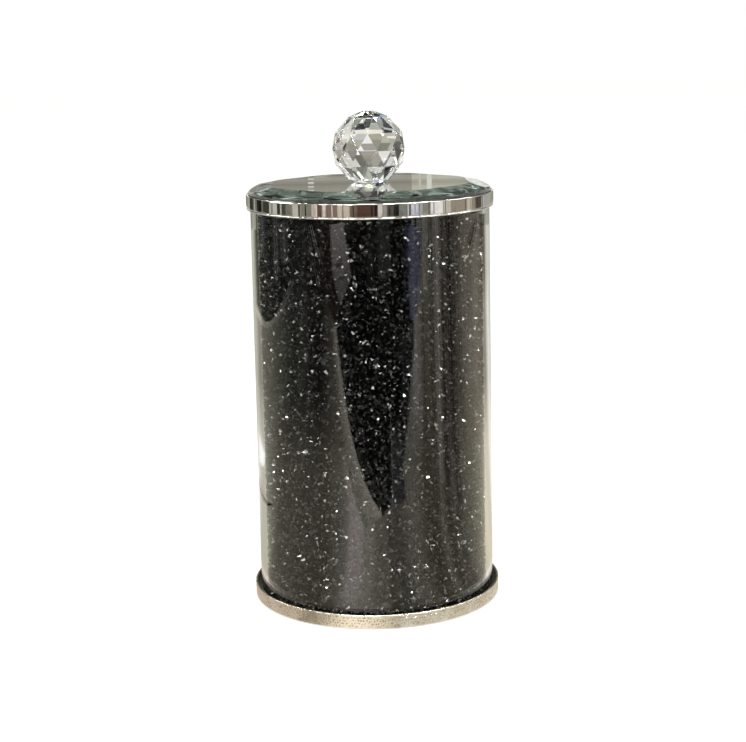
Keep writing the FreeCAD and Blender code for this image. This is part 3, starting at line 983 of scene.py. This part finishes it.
# Thin streaks that run out from the jar on the right, light and dark by turns: the angles each
# lies between, and how far out it starts.
STREAKS = [
    (39.5, 41.5, 420, "#F2F0EE"), (47, 48.4, 330, "#5E5A4C"), (57, 58.6, 190, "#3E392C"),
    (62, 64, 240, "#F0E8DA"), (65.6, 67, 520, "#F2EADC"), (68.6, 71.6, 230, "#2E281F"),
    (73, 74.4, 180, "#BDB3A5"), (76, 78.4, 300, "#241D16"), (79.4, 80.4, 250, "#A09688"),
    (81, 83.6, 190, "#221B14"), (85, 86.2, 300, "#B4AB9C"), (88, 89.2, 420, "#6C6458"),
    (92.6, 94, 500, "#C6BDAE"), (106, 108, 700, "#A89E8E"),
]
painted("floor_streaks", [(sector(start, end, near, 1700, 0.4), code)
                          for start, end, near, code in STREAKS])


WALL = 1450
CEILING = 2200
STRIPE_TOP = 90


def standing(start, end, low_edge, high_edge, radius=WALL):
    """Corners of an upright card: it starts and ends at angles in degrees from the front."""
    return sector(start, end, radius, radius, low_edge, high_edge)


# What stands round the table: the foot of it, seen in the lid ring, in upright stripes from
# -170 degrees on, each with the angle it ends at.  In front of them stand thinner ones at
# random, one for every four degrees.
STRIPES = [
    (-146, "#E6E6E2"), (-136, "#3A3A36"), (-126, "#76766E"), (-118, "#15150F"), (-104, "#42413A"),
    (-93, "#CFCEC6"), (-82, "#4E4E44"), (-74, "#83817A"), (-65, "#CFC9BC"), (-52, "#8C897D"),
    (-48, "#D8C6B8"), (-44, "#6E5247"), (-40, "#F0E4D8"), (-29, "#8A7466"), (-18, "#D6C8B6"),
    (-11, "#7C6E60"), (4, "#5E473C"), (7, "#2A201A"), (11, "#E6E1DA"), (15, "#A8A49C"),
    (21, "#5E5B54"), (26, "#2E2D29"), (33, "#8A8C86"), (37, "#5A5C5A"), (44, "#E4E4F4"),
    (48, "#B4B6B6"), (56, "#8E8D86"), (69, "#FDFCFA"), (78, "#CFCBBF"), (99, "#A3988A"),
    (105, "#CEC6B8"), (112, "#9C9082"), (126, "#55504A"), (150, "#B0AEA8"), (170, "#D9D8D4"),
]
room_chance = numpy.random.default_rng(5)
stripes = []
start = -170
for end, code in STRIPES:
    stripes.append((standing(start, end, 0, STRIPE_TOP), code))
    for _ in range(int((end - start) / 4)):
        thin = float(room_chance.uniform(0.4, 1.3))
        spot = float(room_chance.uniform(start, end - thin))
        tone = ["#1A1814", "#3E3A34", "#F6F2EC", "#8A8478"][int(room_chance.integers(0, 4))]
        top = float(room_chance.uniform(STRIPE_TOP / 2, STRIPE_TOP))
        stripes.append((standing(spot, spot + thin, 0, top, WALL - 10), tone))
    start = end
painted("stripes", stripes, strength=1.15)


def uneven(start, end, least, most, tones):
    """Splits a turn from start into uneven steps, each with one of the tones at random."""
    steps = []
    while start < end:
        following = start + float(room_chance.uniform(least, most))
        steps.append((start, following, tones[int(room_chance.integers(0, len(tones)))]))
        start = following
    return steps


# The room above: patches of wall, furniture and window in uneven tones, and its ceiling.
ROOM_TONES = ["#C9C8C0", "#101112", "#F6F5F0", "#FDFCFA", "#0C0D0E", "#E4E3DC", "#2A2B2B",
              "#FDFCFA", "#161817", "#A8A69C"]
TIERS = [STRIPE_TOP, 420, 800, 1300, CEILING]
room = []
for bottom_edge, top_edge in zip(TIERS, TIERS[1:]):
    for start, end, code in uneven(-150.0, 150, 7, 20, ROOM_TONES):
        room.append((standing(start, min(end, 150), bottom_edge, top_edge), code))
CEILING_TONES = ["#1B1D1D", "#D9D5CE", "#2C3030", "#6B6661", "#0E0F0F", "#8D8D7C", "#3B3836"]
for inner, outer in [(0, 420), (420, 850), (850, WALL + 10)]:
    for start, end, code in uneven(0.0, 360, 14, 40, CEILING_TONES):
        room.append((sector(start, end, inner, outer, CEILING), code))
painted("room", room)

# Two bright windows, overhead behind the jar and high at its right, which the foot of the
# ball and the rim of the glass catch.
painted("windows", [
    (sector(96, 132, 450, 820, CEILING - 50), "#FBF8D4"),
    (standing(104, 114, 1020, 1210, WALL - 20), "#F6FFFA"),
], strength=2.4)

# Pale cones just under the lid and just above its ring, which the ring's rolled foot and the
# edge of its rim show as bright lines, and a lit card that makes a gleam on the glass rim.
painted("foot_glow", hoop("#F4EDE2", 50.4, 62, 160.95, 159.6))
painted("rim_glow", hoop("#F4EFE6", 50.3, 54, 167.4, 170))
painted("rim_gleam", [(standing(turn, turn + 2.5, 166.7, 169.2, 53.0), "#F8FFFA")
                      for turn in (-54, -51.5, -49, -46.5, -44, -41.5)], strength=22.0)

# Behind the jar, row by row: the height a row ends at, its patches with the angle each ends
# at, and how far it leans.  The ball and the bevels break it up.  The lid's mirror shows the
# calm strip in the middle of it.
BACK_ROWS = [
    (130, 0, [(158, "#A9A99B"), (170, "#8D8C82"), (179, "#F4F2EC"), (190, "#A6A59D"),
              (203, "#7C7E70"), (214, "#AEAEA0")]),
    (262, 2, [(160, "#9C9C90"), (167, "#8D8C82"), (180, "#FAF9F6"), (190, "#A6A59D"),
              (203, "#7C7E70"), (214, "#AEAEA0")]),
    (319, 0, [(158, "#A2A196"), (172, "#7E7D74"), (190, "#979288"), (214, "#E4E2DA")]),
    (460, 1, [(160, "#D8D8CE"), (170, "#0C0D0B"), (177, "#6C6D64"), (188, "#A2A296"),
              (203, "#FBFAF8"), (214, "#DAD9D4")]),
    (600, 0, [(164, "#CFCFC8"), (171, "#22211C"), (182, "#7C7C72"), (186, "#A4A69A"),
              (193, "#5E645C"), (201, "#7E7D7A"), (214, "#6E6E6D")]),
    (830, 0, [(158, "#D2D2CC"), (168, "#8A8C86"), (180, "#7C8278"), (186, "#9A9C90"),
              (192.5, "#565C56"), (200, "#A6A49A"), (214, "#8A8A80")]),
    (960, 2, [(161, "#55564E"), (171, "#9C9E92"), (178, "#E2E4DA"), (189, "#A1A493"),
              (201, "#6E746E"), (214, "#2A2D2C")]),
    (1025, 0, [(162, "#B3B5A9"), (173, "#4A4F4E"), (180, "#2C3030"), (188, "#EEF0E8"),
               (203, "#828B83"), (214, "#848A8D")]),
    (1115, 2, [(162, "#B3B5A9"), (172, "#8C8E84"), (189, "#1B1D1D"), (204, "#55564E"),
               (214, "#F4F6F0")]),
    (1300, 3, [(154, "#F1EFE8"), (168, "#A8AA9E"), (180, "#B4B6A8"), (190, "#6E7268"),
               (200, "#9DA194"), (214, "#30383E")]),
    (1500, 2, [(154, "#8D8D7C"), (172, "#161A16"), (184, "#A4A89C"), (193, "#C8CCC2"),
               (209, "#2C343A"), (214, "#E4E8E8")]),
    (1700, 2, [(164, "#EEF2EE"), (176, "#101213"), (186, "#30362F"), (196, "#B4BABC"),
               (214, "#B6B4F8")]),
    (2210, 0, [(160, "#8C5A68"), (172, "#1E2122"), (184, "#DDE65A"), (194, "#F4F6F0"),
               (204, "#4A5064"), (214, "#B8E4EA")]),
]
BACK = 1300
BACK_START = 146.0
BACK_END = 214
mosaic = []
foot = 0
for head, lean, patches in BACK_ROWS:
    left = BACK_START
    for right, code in patches:
        corners = standing(left, right, foot, head, BACK)
        corners[2] = polar(right + (lean if right < BACK_END else 0), BACK, head)
        corners[3] = polar(left + (lean if left > BACK_START else 0), BACK, head)
        mosaic.append((corners, code))
        left = right
    foot = head

# The calm strip: boards in layers, a lit side and a shaded one, with two pale uprights and a
# column of dashes in front of them.
LAYERS = 23
LAYER = 2.5
STRIP_FOOT = 262
for layer in range(LAYERS):
    foot = STRIP_FOOT + layer * LAYER
    shade = ["#94908A", "#9C978C", "#8C877C", "#A09B90", "#979288"][layer * 7 % 5]
    light = ["#B0AC9F", "#BEBAAC", "#A6A295", "#C2BEB0", "#B0AC9F"][layer * 7 % 5]
    if foot < 281:
        shade = "#6E6A64"
        light = "#7E7A72"
    mosaic.append((standing(172, 177.8, foot, foot + LAYER, BACK - 22), light))
    mosaic.append((standing(177.8, 188, foot, foot + LAYER, BACK - 22), shade))
mosaic.append((standing(176.75, 177.0, STRIP_FOOT, 318, BACK - 35), "#DEDBD0"))
mosaic.append((standing(177.3, 177.42, STRIP_FOOT, 318, BACK - 35), "#C6C2B7"))
for dash in range(5):
    foot = 283 + dash * 4.5
    mosaic.append((standing(182.9, 183.2, foot, foot + 1.5, BACK - 35), "#E4E2DA"))
painted("back_mosaic", mosaic)

JAR_MIDDLE = (0, 0, 100)


def facing(centre, size):
    """Corners of a square card that faces the jar, from its centre and side in millimetres."""
    aim = Vector(JAR_MIDDLE) - Vector(centre)
    sideways = aim.cross(Vector((0, 0, 1))).normalized() * size / 2
    upward = sideways.cross(aim).normalized() * size / 2
    middle = Vector(centre)
    return [middle - sideways - upward, middle + sideways - upward,
            middle + sideways + upward, middle - sideways + upward]


# Small bright lights all over the room's front half, which make the chips and facets sparkle.
SPARKS = 110
SPARK_REACH = 1350
spark_chance = numpy.random.default_rng(21)
sparks = []
for _ in range(SPARKS):
    around = float(spark_chance.uniform(-115, 115))
    rise = math.radians(float(spark_chance.uniform(22, 78)))
    spot = polar(around, SPARK_REACH * math.cos(rise),
                 JAR_MIDDLE[2] + SPARK_REACH * math.sin(rise))
    sparks.append((facing(spot, float(spark_chance.uniform(35, 80))), "#FFFDF8"))
painted("sparks", sparks, strength=70.0)


# ---- Lamps -------------------------------------------------------------------------------
# Not part of the object: three large soft lamps, whose light with the surround's adds up to
# the level at which a colour looks as it is written.

def softbox(name, place, size, power):
    """A square area lamp that faces the jar; place in millimetres."""
    data = bpy.data.lights.new(name, "AREA")
    data.size = size * MM
    data.energy = power
    made = bpy.data.objects.new(name, data)
    bpy.context.scene.collection.objects.link(made)
    made.location = Vector(place) * MM
    aim = Vector(JAR_MIDDLE) - Vector(place)
    made.rotation_euler = aim.to_track_quat("-Z", "Y").to_euler()


softbox("key_lamp", (-900, -900, 1500), 800, 7.0)
softbox("fill_lamp", (1300, -500, 1100), 900, 3.0)
softbox("top_lamp", (200, 500, 1700), 900, 3.0)


# ---- Camera ------------------------------------------------------------------------------
# It stands 0.68 m in front of the jar, a little above the knob, and looks slightly down.

STANDPOINT = (0, -683.82, 234.6)
PITCH = 0.1665
YAW = 0.0007
ROLL = -0.0197
camera_data = bpy.data.cameras.new("camera")
camera_data.lens = 81.72
camera_data.sensor_width = 36.0
camera_data.shift_y = -0.0858
camera = bpy.data.objects.new("camera", camera_data)
bpy.context.scene.collection.objects.link(camera)
ahead = Vector((math.sin(YAW) * math.cos(PITCH), math.cos(YAW) * math.cos(PITCH),
                -math.sin(PITCH)))
right = ahead.cross(Vector((0, 0, 1))).normalized()
upward = right.cross(ahead)
across = math.cos(ROLL) * right + math.sin(ROLL) * upward
above = -math.sin(ROLL) * right + math.cos(ROLL) * upward
turn = Matrix((across, above, -ahead)).transposed().to_4x4()
camera.matrix_world = Matrix.Translation(Vector(STANDPOINT) * MM) @ turn
bpy.context.scene.camera = camera

# Light has to cross many faces of glass in the knob, the lid and the tube.
scene = bpy.context.scene
scene.view_settings.view_transform = "Standard"
scene.cycles.max_bounces = 40
scene.cycles.glossy_bounces = 32
scene.cycles.transmission_bounces = 32
scene.cycles.transparent_max_bounces = 16
